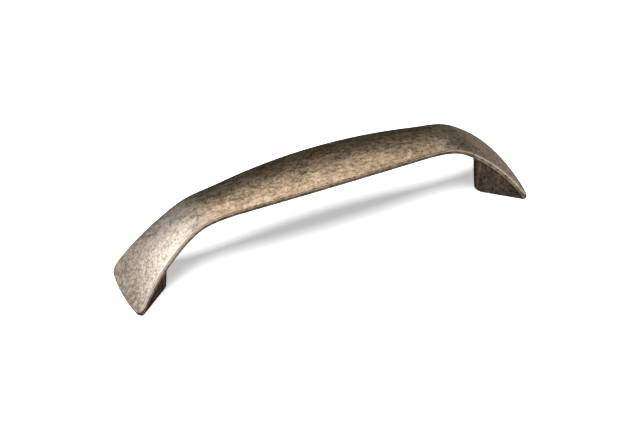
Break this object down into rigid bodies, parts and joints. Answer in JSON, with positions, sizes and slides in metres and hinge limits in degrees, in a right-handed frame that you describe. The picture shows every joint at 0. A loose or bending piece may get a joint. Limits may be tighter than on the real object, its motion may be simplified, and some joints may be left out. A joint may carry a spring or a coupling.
{
  "type": "cabinet handle",
  "caption": "Bow-shaped cabinet pull: a crowned, waisted strap that flares into wedge feet with tapped holes for machine screws, in antiqued die-cast metal.",
  "frame": {"origin": "in the mounting plane, midway between the two screw holes", "axes": "+X along the handle, +Z away from the cabinet front"},
  "size_m": [0.1468, 0.0246, 0.033],
  "materials": {
    "aged_metal": "satin"
  },
  "bodies": {
    "root": {"handle": "aged_metal"}
  },
  "joints": []
}
